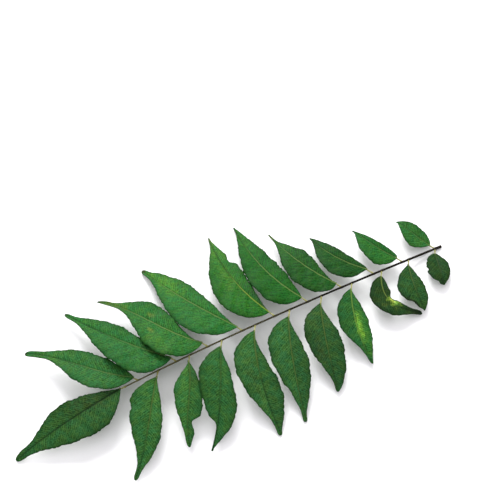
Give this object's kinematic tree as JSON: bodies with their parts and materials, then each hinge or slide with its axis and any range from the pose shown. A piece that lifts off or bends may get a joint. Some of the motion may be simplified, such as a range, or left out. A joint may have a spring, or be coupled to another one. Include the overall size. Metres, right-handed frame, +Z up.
{
  "type": "curry leaf sprig",
  "caption": "Sprig of curry leaves lying flat: a thin arched stem with paired pointed leaflets on short stalks and one at its tip.",
  "frame": {"origin": "centre of the bounding box on the surface the sprig lies on", "axes": "+X along the stem towards its cut end, +Y towards the right row of leaflets, +Z up from the surface"},
  "size_m": [0.199, 0.0924, 0.0138],
  "materials": {
    "rachis": "satin green-brown bark",
    "stalk": "satin pale green",
    "leaflet": "waxy satin leaf skin"
  },
  "bodies": {
    "root": {"rachis": "rachis", "leaflet_left_01": "leaflet", "stalk_left_01": "stalk", "leaflet_left_02": "leaflet", "stalk_left_02": "stalk", "leaflet_left_03": "leaflet", "stalk_left_03": "stalk", "leaflet_left_04": "leaflet", "stalk_left_04": "stalk", "leaflet_left_05": "leaflet", "stalk_left_05": "stalk", "leaflet_left_06": "leaflet", "stalk_left_06": "stalk", "leaflet_left_07": "leaflet", "stalk_left_07": "stalk", "leaflet_left_08": "leaflet", "stalk_left_08": "stalk", "leaflet_left_09": "leaflet", "stalk_left_09": "stalk", "leaflet_left_10": "leaflet", "stalk_left_10": "stalk", "leaflet_right_01": "leaflet", "stalk_right_01": "stalk", "leaflet_right_02": "leaflet", "stalk_right_02": "stalk", "leaflet_right_03": "leaflet", "stalk_right_03": "stalk", "leaflet_right_04": "leaflet", "stalk_right_04": "stalk", "leaflet_right_05": "leaflet", "stalk_right_05": "stalk", "leaflet_right_06": "leaflet", "stalk_right_06": "stalk", "leaflet_right_07": "leaflet", "stalk_right_07": "stalk", "leaflet_right_08": "leaflet", "stalk_right_08": "stalk", "leaflet_right_09": "leaflet", "stalk_right_09": "stalk", "leaflet_right_10": "leaflet", "stalk_right_10": "stalk", "leaflet_end": "leaflet", "stalk_end": "stalk"}
  },
  "joints": []
}
